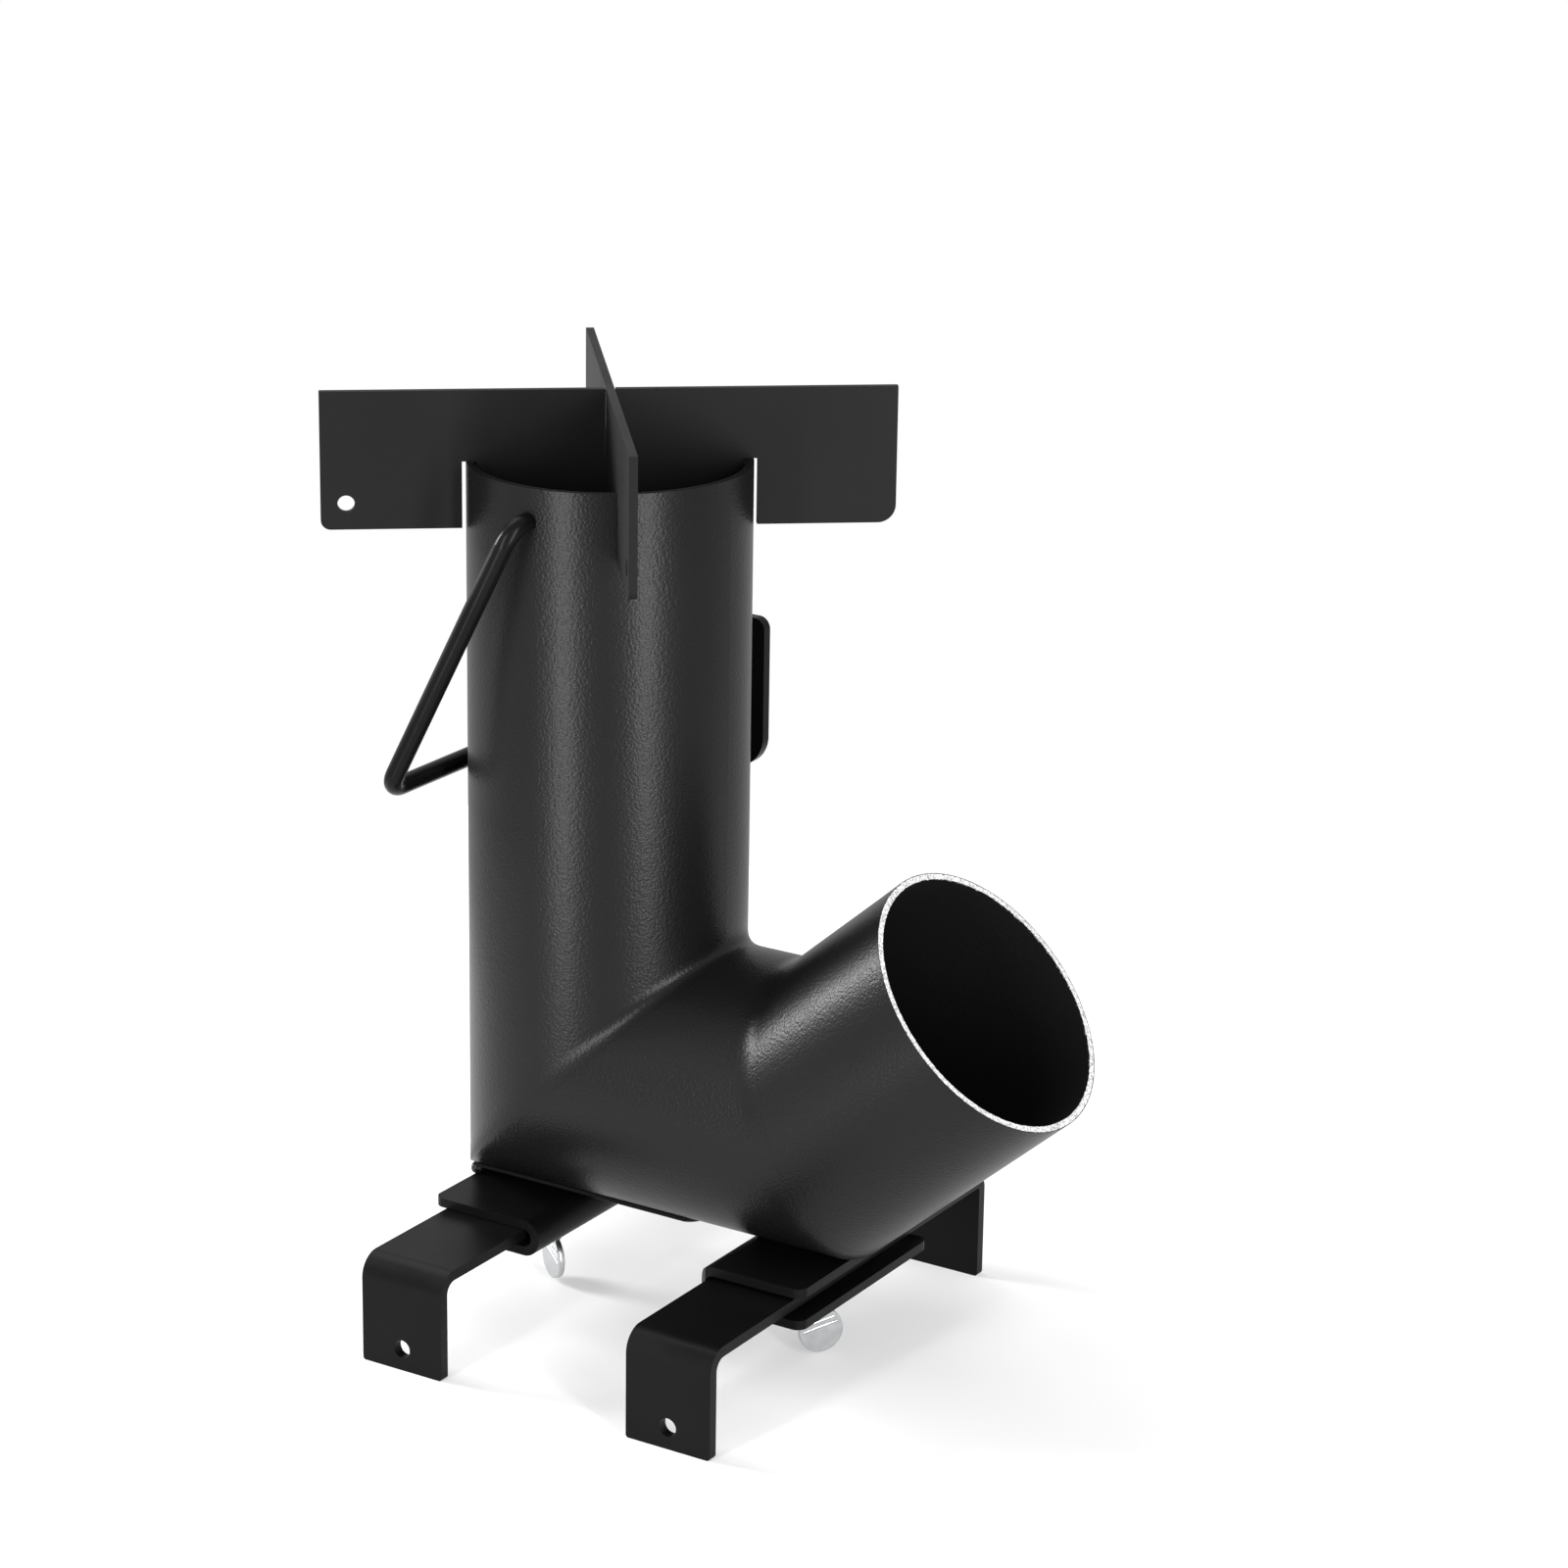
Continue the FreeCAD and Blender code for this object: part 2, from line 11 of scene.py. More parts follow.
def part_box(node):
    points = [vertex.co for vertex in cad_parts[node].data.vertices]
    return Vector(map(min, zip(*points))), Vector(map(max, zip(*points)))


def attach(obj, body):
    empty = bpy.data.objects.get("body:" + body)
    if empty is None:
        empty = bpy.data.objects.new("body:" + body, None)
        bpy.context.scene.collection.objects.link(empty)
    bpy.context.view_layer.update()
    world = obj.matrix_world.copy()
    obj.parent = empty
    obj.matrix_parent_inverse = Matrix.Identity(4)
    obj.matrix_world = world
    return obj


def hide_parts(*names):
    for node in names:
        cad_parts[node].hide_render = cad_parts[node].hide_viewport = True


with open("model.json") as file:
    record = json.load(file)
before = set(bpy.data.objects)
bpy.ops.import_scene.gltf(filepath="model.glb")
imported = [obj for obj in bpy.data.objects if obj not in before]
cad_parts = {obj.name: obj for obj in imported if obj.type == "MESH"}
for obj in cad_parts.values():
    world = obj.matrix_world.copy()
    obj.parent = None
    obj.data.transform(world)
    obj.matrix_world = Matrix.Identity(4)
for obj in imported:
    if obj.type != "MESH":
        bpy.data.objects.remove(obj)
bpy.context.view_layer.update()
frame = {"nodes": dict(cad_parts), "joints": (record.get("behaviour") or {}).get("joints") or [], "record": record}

MM = 0.001
UPRIGHT = Vector((0, 0, 1))
FORWARD = Vector((1, 0, 0))

# The stove's own geometry, read from the frame. Only the wall is stated here: it is the CAD's 2.5 mm.
TUBE_WALL = 2.5 * MM
RISER_LOW, RISER_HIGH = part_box("riser_tube")
TUBE_RADIUS = (RISER_HIGH.y - RISER_LOW.y) / 2
BORE_RADIUS = TUBE_RADIUS - TUBE_WALL
AXIS_X = RISER_LOW.x + TUBE_RADIUS
BURN_HEIGHT = RISER_LOW.z + TUBE_RADIUS
MOUNTS = {mount["name"]: mount for mount in frame["record"]["mounts"]}
MOUTH = MOUNTS["mouth_rim"]
FEED_WAY = Vector(MOUTH["axis"]).normalized()
MOUTH_CENTRE = Vector((MOUTH["pos_m"][0], 0, MOUTH["pos_m"][2]))
FEED_ANGLE = math.atan2(FEED_WAY.z, FEED_WAY.x)
BEND_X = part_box("burn_tube")[1].x - TUBE_RADIUS * math.tan(FEED_ANGLE / 2)
JOINTS = {joint["name"]: joint for joint in frame["joints"]}

# Thumb screw sizes that the CAD's plain screw doesn't show.
COIN_RADIUS = 8.5 * MM
COIN_HALF_THICKNESS = 1.2 * MM
RIB_OFFSETS_MM = (1.6, 3.8, 6.0)
RIB_REACH_MM = 7.9
RIB_HALF_WIDTH = 0.55 * MM
RIB_HEIGHT = 0.34 * MM
SHANK_RADIUS = 3 * MM
THREAD_PITCH = 1 * MM
THREAD_DEPTH = 0.5 * MM

# How rough the sound coat on the tubes is, and the colour and roughness of soot and of sawn steel on it.
COAT_ROUGHNESS = 0.33
SOOT_COLOUR = "#060606"
SOOT_ROUGHNESS = 0.85
MOUTH_ROUGHNESS = 0.7


# Materials


def linear(hex_colour):
    """An sRGB hex colour as linear RGBA."""
    channels = [int(hex_colour[i:i + 2], 16) / 255 for i in (1, 3, 5)]
    return [c / 12.92 if c <= 0.04045 else ((c + 0.055) / 1.055) ** 2.4 for c in channels] + [1.0]


def add(tree, kind, inputs=None, **settings):
    """Add a node with its settings; each input is a plain value or another node's output."""
    made = tree.nodes.new(kind)
    for name, value in settings.items():
        setattr(made, name, value)
    for key, value in (inputs or {}).items():
        if isinstance(value, bpy.types.NodeSocket):
            tree.links.new(value, made.inputs[key])
        else:
            made.inputs[key].default_value = value
    return made


def new_material(name, **constants):
    """A material with one Principled shader whose constant inputs are set straight on it. Returned with
    its tree, its shader and the object coordinates that its patterns are laid out in."""
    material = bpy.data.materials.new(name)
    material.use_nodes = True
    shader = material.node_tree.nodes["Principled BSDF"]
    for key, value in constants.items():
        shader.inputs[key.replace("_", " ")].default_value = value
    place = add(material.node_tree, "ShaderNodeTexCoord").outputs["Object"]
    return material, material.node_tree, shader, place


def cloudy_colour(tree, shader, place, patch_mm, detail, dark, light):
    """Let the colour drift between two near shades in soft patches. Returns the patches and the colour."""
    spread = {"Vector": place, "Scale": 1 / (patch_mm * MM), "Detail": detail}
    patches = add(tree, "ShaderNodeTexNoise", spread).outputs["Fac"]
    shades = {0: patches, 6: linear(dark), 7: linear(light)}
    colour = add(tree, "ShaderNodeMix", shades, data_type="RGBA").outputs[2]
    tree.links.new(colour, shader.inputs["Base Color"])
    return patches, colour


def orange_peel(tree, shader, place, waves, pebbles):
    """The skin that sprayed powder melts into: slow waves, with pebbles over them. Each of the two is its
    size in mm, its noise detail, its depth in mm and its strength."""
    normal = None
    for size_mm, detail, depth_mm, strength in (waves, pebbles):
        spread = {"Vector": place, "Scale": 1 / (size_mm * MM), "Detail": detail}
        height = add(tree, "ShaderNodeTexNoise", spread).outputs["Fac"]
        relief = {"Height": height, "Distance": depth_mm * MM, "Strength": strength}
        if normal is not None:
            relief["Normal"] = normal
        normal = add(tree, "ShaderNodeBump", relief).outputs["Normal"]
    tree.links.new(normal, shader.inputs["Normal"])


def distance_from_axis(tree, place, point, way):
    """How far a surface point lies from the straight axis through point."""
    offset = add(tree, "ShaderNodeVectorMath", {0: place, 1: point}, operation="SUBTRACT").outputs[0]
    across = add(tree, "ShaderNodeVectorMath", {0: offset, 1: way}, operation="CROSS_PRODUCT").outputs[0]
    return add(tree, "ShaderNodeVectorMath", {0: across}, operation="LENGTH").outputs["Value"]


def along_axis(tree, place, point, way):
    """How far a surface point lies past the plane through point, along way."""
    offset = add(tree, "ShaderNodeVectorMath", {0: place, 1: point}, operation="SUBTRACT").outputs[0]
    return add(tree, "ShaderNodeVectorMath", {0: offset, 1: way}, operation="DOT_PRODUCT").outputs["Value"]


def bore_soot(tree, place, radius):
    """How sooty a point is, 1 in the bore and 0 outside it, with an edge that wanders a little."""
    spread = {"Vector": place, "Scale": 1 / (9.0 * MM), "Detail": 3.0}
    drift = add(tree, "ShaderNodeTexNoise", spread).outputs["Fac"]
    wobble = add(tree, "ShaderNodeMath", {0: drift, 1: 0.8 * MM}, operation="MULTIPLY").outputs[0]
    reach = add(tree, "ShaderNodeMath", {0: radius, 1: wobble}, operation="ADD").outputs[0]
    edge = {"Value": reach, "From Min": BORE_RADIUS + 1.2 * MM, "From Max": BORE_RADIUS + 0.4 * MM}
    return add(tree, "ShaderNodeMapRange", edge, interpolation_type="SMOOTHSTEP").outputs["Result"]


def tube_coat(name):
    """High-temperature black powder coat: a fine pebbled orange peel over slow waves, so that it glints
    in the lights. The real peel is finer than a millimetre, and is drawn 1 mm across so that it shows.
    Returns the coat's own colour too, for a bore or a cut end to be laid over."""
    material, tree, shader, place = new_material(
        name, Roughness=COAT_ROUGHNESS, IOR=1.45, Specular_IOR_Level=0.22)
    coat = cloudy_colour(tree, shader, place, 60.0, 3.0, "#0c0c0d", "#121213")[1]
    orange_peel(tree, shader, place, waves=(7.0, 1.0, 0.25, 0.15), pebbles=(1.0, 1.5, 0.2, 0.7))
    return material, tree, shader, place, coat


def powder_coated_tube(name, point, way):
    """The tube coat, burnt dull and sooty inside the bore."""
    material, tree, shader, place, coat = tube_coat(name)
    sooty = bore_soot(tree, place, distance_from_axis(tree, place, point, way))
    layers = {0: sooty, 6: coat, 7: linear(SOOT_COLOUR)}
    blackened = add(tree, "ShaderNodeMix", layers, data_type="RGBA").outputs[2]
    tree.links.new(blackened, shader.inputs["Base Color"])
    dulling = {"Value": sooty, "To Min": COAT_ROUGHNESS, "To Max": SOOT_ROUGHNESS}
    dulled = add(tree, "ShaderNodeMapRange", dulling, interpolation_type="SMOOTHSTEP").outputs["Result"]
    tree.links.new(dulled, shader.inputs["Roughness"])
    return material


def cut_feed_tube():
    """The tube coat with a sooty bore, and on the mouth's end a ragged ring of bare saw-cut steel, bright
    and scratched where the blade took the coat off."""
    material, tree, shader, place, coat = tube_coat("powder_coated_feed_tube")
    radius = distance_from_axis(tree, place, MOUTH_CENTRE, FEED_WAY)
    sooty = bore_soot(tree, place, radius)

    past_mouth = along_axis(tree, place, MOUTH_CENTRE, FEED_WAY)
    edge = {"Value": past_mouth, "From Min": -0.6 * MM, "From Max": -0.3 * MM}
    end_face = add(tree, "ShaderNodeMapRange", edge, interpolation_type="SMOOTHSTEP").outputs["Result"]
    spread = {"Vector": place, "Scale": 1 / (1.6 * MM), "Detail": 4.0, "Roughness": 0.7}
    chips = add(tree, "ShaderNodeTexNoise", spread).outputs["Fac"]
    ragged = add(tree, "ShaderNodeMath", {0: chips, 1: 0.9 * MM}, operation="MULTIPLY").outputs[0]
    reach = add(tree, "ShaderNodeMath", {0: radius, 1: ragged}, operation="ADD").outputs[0]
    edge = {"Value": reach, "From Min": BORE_RADIUS + 0.45 * MM, "From Max": BORE_RADIUS + 0.65 * MM}
    inner = add(tree, "ShaderNodeMapRange", edge, interpolation_type="SMOOTHSTEP").outputs["Result"]
    edge = {"Value": reach, "From Min": TUBE_RADIUS + 0.25 * MM, "From Max": TUBE_RADIUS + 0.05 * MM}
    outer = add(tree, "ShaderNodeMapRange", edge, interpolation_type="SMOOTHSTEP").outputs["Result"]
    ring = add(tree, "ShaderNodeMath", {0: inner, 1: outer}, operation="MULTIPLY").outputs[0]
    bare = add(tree, "ShaderNodeMath", {0: end_face, 1: ring}, operation="MULTIPLY").outputs[0]

    spread = {"Vector": place, "Scale": 1 / (0.9 * MM), "Detail": 3.0, "Roughness": 0.7}
    scratches = add(tree, "ShaderNodeTexNoise", spread).outputs["Fac"]
    edge = {"Value": scratches, "From Min": 0.35, "From Max": 0.65}
    scored = add(tree, "ShaderNodeMapRange", edge, interpolation_type="SMOOTHSTEP").outputs["Result"]
    layers = {0: scored, 6: linear("#a4a4a3"), 7: linear("#ffffff")}
    steel = add(tree, "ShaderNodeMix", layers, data_type="RGBA").outputs[2]
    layers = {0: sooty, 6: coat, 7: linear(SOOT_COLOUR)}
    painted = add(tree, "ShaderNodeMix", layers, data_type="RGBA").outputs[2]
    layers = {0: bare, 6: painted, 7: steel}
    colour = add(tree, "ShaderNodeMix", layers, data_type="RGBA").outputs[2]
    tree.links.new(colour, shader.inputs["Base Color"])

    metallic = add(tree, "ShaderNodeMath", {0: bare, 1: 0.55}, operation="MULTIPLY").outputs[0]
    tree.links.new(metallic, shader.inputs["Metallic"])
    uncoated = add(tree, "ShaderNodeMath", {0: sooty, 1: bare}, operation="MAXIMUM").outputs[0]
    dulling = {"Value": uncoated, "To Min": COAT_ROUGHNESS, "To Max": MOUTH_ROUGHNESS}
    dulled = add(tree, "ShaderNodeMapRange", dulling, interpolation_type="SMOOTHSTEP").outputs["Result"]
    tree.links.new(dulled, shader.inputs["Roughness"])
    return material


def satin_coat(name, dark, light, roughness, pebble_depth_mm=0.05):
    """Smooth satin powder coat on cut and bent bar: a faint, wide orange peel under a soft sheen."""
    material, tree, shader, place = new_material(name, IOR=1.45, Specular_IOR_Level=0.11)
    patches = cloudy_colour(tree, shader, place, 35.0, 3.0, dark, light)[0]
    drift = {"Value": patches, "From Min": 0.3, "From Max": 0.7,
             "To Min": roughness - 0.03, "To Max": roughness + 0.05}
    sheen = add(tree, "ShaderNodeMapRange", drift, interpolation_type="SMOOTHSTEP").outputs["Result"]
    tree.links.new(sheen, shader.inputs["Roughness"])
    orange_peel(tree, shader, place, waves=(5.0, 1.0, 0.12, 0.2), pebbles=(1.3, 1.0, pebble_depth_mm, 0.5))
    return material


def bright_zinc():
    """Bright zinc plate over turned steel: near-white metal with fine directionless haze."""
    material, tree, shader, place = new_material("bright_zinc_plate", Metallic=1.0)
    haze = cloudy_colour(tree, shader, place, 3.0, 3.0, "#b4b6b8", "#c8cacb")[0]
    drift = {"Value": haze, "From Min": 0.3, "From Max": 0.7, "To Min": 0.3, "To Max": 0.36}
    sheen = add(tree, "ShaderNodeMapRange", drift, interpolation_type="SMOOTHSTEP").outputs["Result"]
    tree.links.new(sheen, shader.inputs["Roughness"])
    return material


def light_table():
    """Matt white acrylic, lit from below so that shadows on it stay faint."""
    material, tree, shader, place = new_material("white_light_table", Roughness=0.9, Emission_Strength=0.4)
    shader.inputs["Emission Color"].default_value = linear("#ffffff")
    cloudy_colour(tree, shader, place, 40.0, 2.0, "#b8b8b8", "#bcbcbc")
    return material


# Meshes


def new_piece(name, mesh, material, body):
    mesh.materials.append(material)
    piece = bpy.data.objects.new(name, mesh)
    bpy.context.scene.collection.objects.link(piece)
    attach(piece, body)
    return piece


def mesh_from_grid(name, rows, wrap_rows=False, wrap_columns=False):
    """A smooth quad mesh through a grid of points."""
    mesh = bpy.data.meshes.new(name)
    width = len(rows[0])
    points = [point for row in rows for point in row]
    faces = []
    for row in range(len(rows) - (0 if wrap_rows else 1)):
        for column in range(width - (0 if wrap_columns else 1)):
            below, beside = (row + 1) % len(rows), (column + 1) % width
            corners = [(row, column), (row, beside), (below, beside), (below, column)]
            faces.append([r * width + c for r, c in corners])
    mesh.from_pydata(points, [], faces)
    mesh.shade_smooth()
    mesh.update()
    return mesh


def smooth(value):
    """The value held between 0 and 1, with a soft start and a soft end."""
    value = min(1.0, max(0.0, value))
    return value * value * (3 - 2 * value)


def seam_skin(name, seam, reach, material):
    """The weld between two tubes, ground smooth and coated: a fillet in the hollow side of the mitre and
    a thin film over the rest, shaded so that the light passes softly from one tube to the other. seam
    gives, for an angle round the tubes, the point and each tube's outward normal and way off."""
    around, across = 180, 16
    film_edge, film_crown = 0.03 * MM, 0.09 * MM
    hollow_blend = 0.2
    rows, normals = [], []
    for step in range(around):
        angle = 2 * math.pi * step / around
        point, first, second, first_way, second_way = seam(angle)
        hollow = smooth(math.cos(angle) / hollow_blend)
        row = []
        for part in range(across + 1):
            s = part / across
            bare_way = first_way * max(0.0, 1 - 2 * s) + second_way * max(0.0, 2 * s - 1)
            filled_way = first_way * (1 - s) ** 2 + second_way * s ** 2
            normal = first.lerp(second, smooth(s)).normalized()
            film = film_edge + film_crown * math.sin(math.pi * s)
            row.append(point + bare_way.lerp(filled_way, hollow) * reach + normal * film)
            normals.append(normal)
        rows.append(row)
    mesh = mesh_from_grid(name, rows, wrap_rows=True)
    mesh.normals_split_custom_set_from_vertices(normals)
    return new_piece(name, mesh, material, "stove_body")


def riser_seam(angle):
    """The mitre between the riser and the burn tube."""
    across, rise = math.sin(angle), math.cos(angle)
    point = Vector((AXIS_X + TUBE_RADIUS * rise, TUBE_RADIUS * across, BURN_HEIGHT + TUBE_RADIUS * rise))
    return point, Vector((rise, across, 0)), Vector((0, across, rise)), UPRIGHT, FORWARD


def feed_seam(angle):
    """The mitre between the burn tube and the feed tube."""
    across, rise = math.sin(angle), math.cos(angle)
    lean = TUBE_RADIUS * rise * math.tan(FEED_ANGLE / 2)
    point = Vector((BEND_X - lean, TUBE_RADIUS * across, BURN_HEIGHT + TUBE_RADIUS * rise))
    feed_normal = Vector((-FEED_WAY.z * rise, across, FEED_WAY.x * rise))
    return point, Vector((0, across, rise)), feed_normal, -FORWARD, FEED_WAY


def weld_bead(name, start, end, radius, material):
    """A short hand-laid bead: a rippled rod with rounded ends."""
    run = end - start
    way = run.normalized()
    side = way.orthogonal().normalized()
    up = way.cross(side)
    step_length, ripple_pitch, ripple_share = 0.5 * MM, 2.2 * MM, 0.06
    steps = max(24, int(run.length / step_length))
    around = 20
    tip_share = 0.02
    rows = []
    for step in range(steps + 1):
        along = run.length * step / steps
        edge = min(along, run.length - along)
        taper = math.sqrt(max(0.0, 1 - (1 - min(1.0, edge / radius)) ** 2))
        ripple = 1 + ripple_share * math.cos(2 * math.pi * along / ripple_pitch)
        size = max(radius * taper * ripple, radius * tip_share)
        ring = []
        for part in range(around):
            turn = 2 * math.pi * part / around
            ring.append(start + way * along + (side * math.cos(turn) + up * math.sin(turn)) * size)
        rows.append(ring)
    mesh = mesh_from_grid(name, rows, wrap_columns=True)
    return new_piece(name, mesh, material, "stove_body")


def add_rows(bm, rows, wrap=False):
    """Join rows of points into quads; wrap closes each row on itself."""
    made = [[bm.verts.new(point) for point in row] for row in rows]
    for lower, upper in zip(made, made[1:]):
        count = len(lower) if wrap else len(lower) - 1
        for i in range(count):
            j = (i + 1) % len(lower)
            bm.faces.new((lower[i], lower[j], upper[j], upper[i]))
    return made


def add_coin(bm, middle, across, up, normal):
    """The flat round head, with its rim rolled over both faces."""
    rim, rim_steps, around = 0.5 * MM, 5, 96
    radius, half = COIN_RADIUS, COIN_HALF_THICKNESS
    profile = [(0.02 * MM, half)]
    profile += [(radius * part / 6, half) for part in range(1, 5)] + [(radius - rim - 0.3 * MM, half)]
    for step in range(rim_steps):
        turn = math.pi / 2 * step / (rim_steps - 1)
        profile.append((radius - rim + rim * math.sin(turn), half - rim + rim * math.cos(turn)))
    profile += [(reach, -depth) for reach, depth in reversed(profile)]
    turns = [2 * math.pi * part / around for part in range(around)]
    rows = []
    for reach, depth in profile:
        rows.append([middle + (across * math.cos(turn) + up * math.sin(turn)) * reach + normal * depth
                     for turn in turns])
    add_rows(bm, rows, wrap=True)


def add_grip_rib(bm, middle, way, side, normal, half_length):
    """One raised rib, round over its back and fading out at both ends."""
    long_steps, round_steps, sunk, narrowest = 32, 8, 0.05 * MM, 0.05
    rows = []
    for step in range(long_steps + 1):
        along = -1 + 2 * step / long_steps
        fade = (1 - abs(along) ** 6) ** 0.5
        row = []
        for part in range(round_steps + 1):
            turn = math.pi * part / round_steps
            lift = RIB_HEIGHT * math.sin(turn) * fade - sunk
            row.append(middle + way * half_length * along
                       + side * RIB_HALF_WIDTH * math.cos(turn) * max(fade, narrowest) + normal * lift)
        rows.append(row)
    add_rows(bm, rows)


def add_thread(bm, foot, length):
    """A rolled screw thread, cut as a true helix and run out at its tip."""
    around, per_turn = 32, 10
    tip_chamfer = 0.35 * MM
    rows = []
    steps = int(length / THREAD_PITCH * per_turn)
    for step in range(steps + 1):
        up = length * step / steps
        to_tip = (length - up) / THREAD_PITCH
        runout = min(1.0, to_tip, up / THREAD_PITCH + 0.2)
        row = []
        for part in range(around):
            phase = (up / THREAD_PITCH - part / around) % 1.0
            crest = abs(2 * phase - 1)
            depth = THREAD_DEPTH * (1 - crest) * runout + tip_chamfer * (1 - min(1.0, to_tip))
            turn = 2 * math.pi * part / around
            out = Vector((math.cos(turn), math.sin(turn), 0))
            row.append(foot + out * (SHANK_RADIUS - depth) + UPRIGHT * up)
        rows.append(row)
    made = add_rows(bm, rows, wrap=True)
    bm.faces.new(made[-1])
    bm.faces.new(list(reversed(made[0])))


def thumb_screw(node, turned, rib_tilt, material):
    """A zinc thumb screw: a flat coin head with raised grip ribs on both faces, and a threaded shank."""
    low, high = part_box(node)
    joint = JOINTS[node.replace("thumb_screw", "screw_turn")]
    middle = Vector((joint["pos_m"][0], 0, low.z + COIN_RADIUS))
    normal = Vector((math.sin(turned), -math.cos(turned), 0))
    bm = bmesh.new()
    for facing in (1, -1):
        outward = normal * facing
        right = UPRIGHT.cross(outward)
        way = right * math.cos(rib_tilt) + UPRIGHT * math.sin(rib_tilt)
        side = outward.cross(way)
        for offset in RIB_OFFSETS_MM:
            half_length = math.sqrt(RIB_REACH_MM ** 2 - offset ** 2) * MM
            place = middle + side * offset * MM + outward * COIN_HALF_THICKNESS
            add_grip_rib(bm, place, way, side, outward, half_length)
    add_coin(bm, middle, UPRIGHT.cross(normal), UPRIGHT, normal)
    foot = middle + UPRIGHT * (COIN_RADIUS - COIN_HALF_THICKNESS)
    add_thread(bm, foot, high.z - foot.z)
    bmesh.ops.recalc_face_normals(bm, faces=bm.faces)
    mesh = bpy.data.meshes.new(f"{node}_detail")
    bm.to_mesh(mesh)
    bm.free()
    mesh.shade_smooth()
    piece = new_piece(f"{node}_detail", mesh, material, node)
    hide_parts(node)


# Dressing the CAD nodes


def soften_edges(node, width_mm):
    """Close the node's mesh and round its corners a little, as deburred and coated steel has them."""
    obj = frame["nodes"][node]
    weld = obj.modifiers.new("close_mesh", "WELD")
    weld.merge_threshold = 0.004 * MM
    bevel = obj.modifiers.new("eased_edges", "BEVEL")
    bevel.width = width_mm * MM
    bevel.segments = 3
    bevel.limit_method = "ANGLE"
    bevel.angle_limit = math.radians(32)
    bevel.harden_normals = False
    even = obj.modifiers.new("even_shading", "WEIGHTED_NORMAL")
    even.keep_sharp = False


def dress(node, material):
    obj = frame["nodes"][node]
    obj.data.materials.clear()
    obj.data.materials.append(material)


# Studio

VIEW_AZIMUTH = math.radians(31.65)
VIEW_ELEVATION = math.radians(17.84)
VIEW_ROLL = math.radians(0.90)
VIEW_DISTANCE = 1.606
VIEW_AIM_RIGHT = 0.06328
VIEW_AIM_HEIGHT = 0.20266
LENS_MM = 101.88
SENSOR_MM = 36.0
BACK = Vector((math.sin(VIEW_AZIMUTH) * math.cos(VIEW_ELEVATION),
               -math.cos(VIEW_AZIMUTH) * math.cos(VIEW_ELEVATION), math.sin(VIEW_ELEVATION)))
RIGHT = Vector((math.cos(VIEW_AZIMUTH), math.sin(VIEW_AZIMUTH), 0))

# Each soft light: its name, bearing in degrees, height and distance in metres, width and height of its
# panel in metres, power in watts, and how many degrees it looks down.
SOFTBOXES = (
    ("left_strip_box", -3, 0.3, 1.2, 0.13, 1.4, 16, 0),
    ("right_strip_box", 62, 0.3, 1.2, 0.13, 1.4, 17, 0),
    ("left_side_box", -80, 0.62, 1.3, 0.36, 0.5, 26, 18),
    ("overhead_box", -110, 1.75, 1.0, 1.2, 1.2, 10, 58),
)
WORLD_LIGHT = 0.75
WORLD_SEEN = 1.0
FLOOR_HALF = 0.45


def add_camera():
    data = bpy.data.cameras.new("camera")
    data.lens = LENS_MM
    data.sensor_width = SENSOR_MM
    camera = bpy.data.objects.new("camera", data)
    bpy.context.scene.collection.objects.link(camera)
    aim = Vector((AXIS_X, 0, VIEW_AIM_HEIGHT)) + RIGHT * VIEW_AIM_RIGHT
    camera.location = aim + BACK * VIEW_DISTANCE
    camera.rotation_mode = "QUATERNION"
    camera.rotation_quaternion = (-BACK).to_track_quat("-Z", "Y") @ Quaternion((0, 0, 1), VIEW_ROLL)
    bpy.context.scene.camera = camera


def add_softbox(name, bearing, height, distance, width, tall, watts, tilt):
    """A rectangular soft light facing the stove."""
    data = bpy.data.lights.new(name, "AREA")
    data.shape = "RECTANGLE"
    data.size = width
    data.size_y = tall
    data.energy = watts
    lamp = bpy.data.objects.new(name, data)
    bpy.context.scene.collection.objects.link(lamp)
    bearing = math.radians(bearing)
    place = Vector((AXIS_X + math.sin(bearing) * distance, -math.cos(bearing) * distance, height))
    target = Vector((AXIS_X, 0, height - distance * math.tan(math.radians(tilt))))
    lamp.location = place
    lamp.rotation_mode = "QUATERNION"
    lamp.rotation_quaternion = (target - place).to_track_quat("-Z", "Y")


def add_world():
    """A plain white surround, a little weaker as a light than as it is seen."""
    world = bpy.data.worlds.new("studio")
    bpy.context.scene.world = world
    world.use_nodes = True
    tree = world.node_tree
    tree.nodes.clear()
    lit = add(tree, "ShaderNodeBackground", {"Color": linear("#ffffff"), "Strength": WORLD_LIGHT})
    seen = add(tree, "ShaderNodeBackground", {"Color": linear("#ffffff"), "Strength": WORLD_SEEN})
    ray = add(tree, "ShaderNodeLightPath").outputs["Is Camera Ray"]
    mixed = add(tree, "ShaderNodeMixShader", {0: ray, 1: lit.outputs[0], 2: seen.outputs[0]})
    add(tree, "ShaderNodeOutputWorld", {"Surface": mixed.outputs[0]})


def add_floor():
    half = FLOOR_HALF
    corners = [(-half, -half, 0), (half, -half, 0), (half, half, 0), (-half, half, 0)]
    mesh = bpy.data.meshes.new("floor")
    mesh.from_pydata(corners, [], [(0, 1, 2, 3)])
    mesh.materials.append(light_table())
    floor = bpy.data.objects.new("floor", mesh)
    bpy.context.scene.collection.objects.link(floor)


# Finishes on the CAD nodes

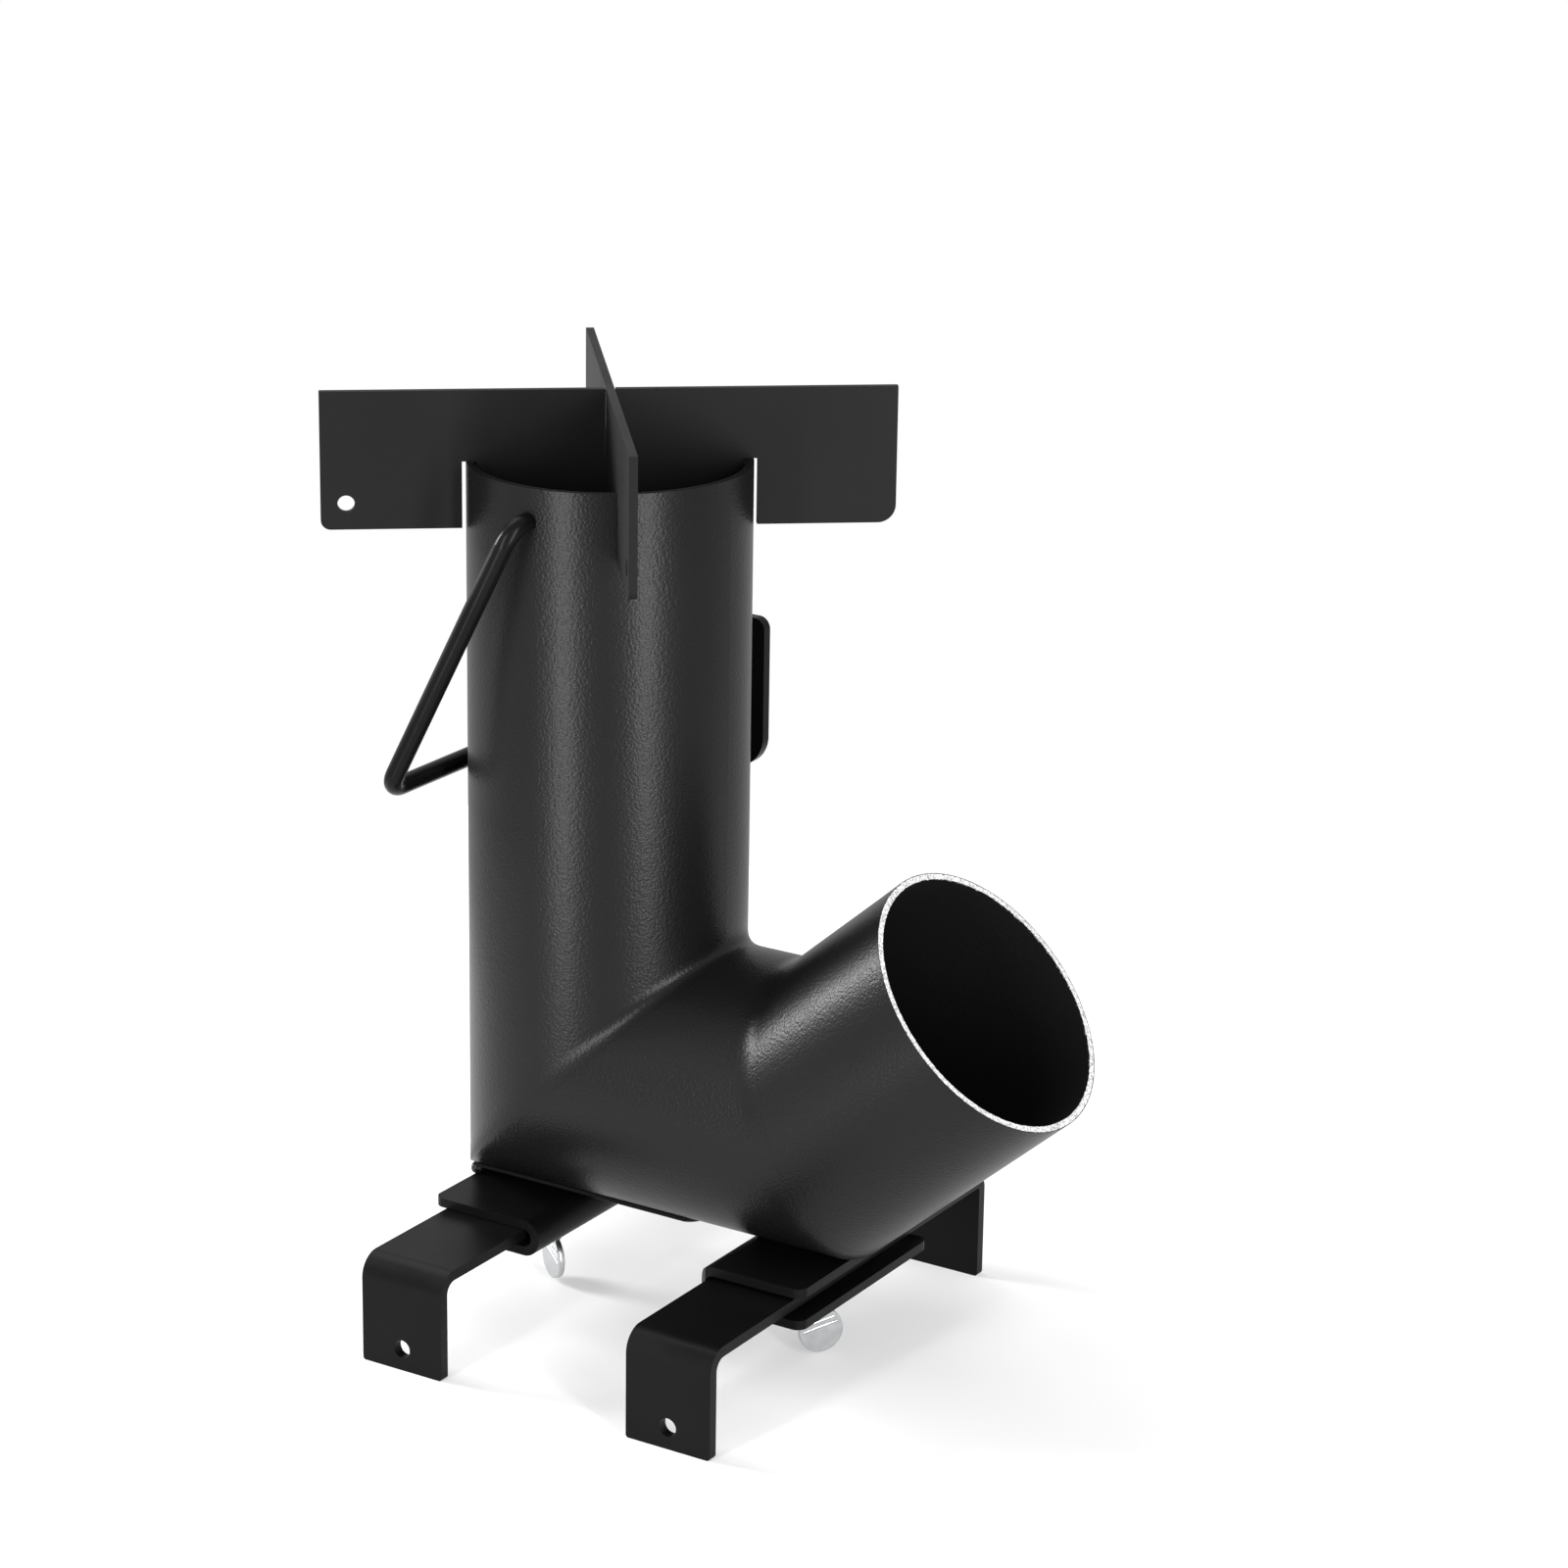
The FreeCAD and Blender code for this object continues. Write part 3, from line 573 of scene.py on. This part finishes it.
riser_axis = Vector((AXIS_X, 0, BURN_HEIGHT))
dress("riser_tube", powder_coated_tube("powder_coated_riser", riser_axis, UPRIGHT))
dress("burn_tube", powder_coated_tube("powder_coated_burn_tube", riser_axis, FORWARD))
dress("feed_tube", cut_feed_tube())
bracket_coat = satin_coat("satin_coated_bracket", "#080808", "#0c0c0d", 0.36)
leg_coat = satin_coat("satin_coated_leg_bar", "#080809", "#0d0d0e", 0.34)
bail_coat = satin_coat("painted_bail_rod", "#0a0a0b", "#0f0f10", 0.26, pebble_depth_mm=0.03)
support_coat = satin_coat("matt_coated_plate", "#101010", "#161616", 0.5)
zinc = bright_zinc()
for name in ("saddle_plate", "rear_bracket", "front_bracket", "side_tab"):
    dress(name, bracket_coat)
    soften_edges(name, 0.5)
for name in ("rear_leg_bar", "front_leg_bar"):
    dress(name, leg_coat)
    soften_edges(name, 0.6)
for name in ("lower_pot_support", "upper_pot_support"):
    dress(name, support_coat)
    soften_edges(name, 0.3)
dress("carrying_bail", bail_coat)

# Thumb screws: how far each head is turned and how far its ribs tilt, in degrees.
for name, head_turn, rib_tilt in (("rear_thumb_screw", 148, -19), ("front_thumb_screw", 53, 13)):
    dress(name, zinc)
    thumb_screw(name, math.radians(head_turn), math.radians(rib_tilt), zinc)

# Welds
SEAM_REACH = 6 * MM
ELBOW_BEAD, BRACKET_BEAD, TAB_BEAD = 2.4 * MM, 1.3 * MM, 1.2 * MM
BRACKET_BEAD_OFFSET = 9 * MM
coated_weld = tube_coat("powder_coated_weld")[0]
seam_skin("riser_seam_weld", riser_seam, SEAM_REACH, coated_weld)
seam_skin("feed_seam_weld", feed_seam, SEAM_REACH, coated_weld)
elbow = Vector((AXIS_X - TUBE_RADIUS + 3.2 * MM, -19 * MM, 46.2 * MM))
weld_bead("elbow_weld", elbow, elbow + Vector((0, 38 * MM, 0)), ELBOW_BEAD, coated_weld)
for side, beside in (("right", -BRACKET_BEAD_OFFSET), ("left", BRACKET_BEAD_OFFSET)):
    front = Vector((BEND_X - 26 * MM, beside, 46.9 * MM))
    weld_bead(f"front_bracket_weld_{side}", front, front + FORWARD * 24 * MM, BRACKET_BEAD, coated_weld)
    rear = Vector((AXIS_X - 34 * MM, beside, 45.2 * MM))
    weld_bead(f"rear_bracket_weld_{side}", rear, rear + FORWARD * 32 * MM, BRACKET_BEAD, coated_weld)
tab_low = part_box("side_tab")[0]
for name, across in (("tab_rear_weld", tab_low.x - 0.3 * MM), ("tab_front_weld", AXIS_X + 8 * MM)):
    foot = Vector((across, tab_low.y - 0.2 * MM, tab_low.z + 6 * MM))
    weld_bead(name, foot, foot + UPRIGHT * 44 * MM, TAB_BEAD, coated_weld)

add_camera()
for softbox in SOFTBOXES:
    add_softbox(*softbox)
add_world()
add_floor()
bpy.context.scene.view_settings.view_transform = "Standard"
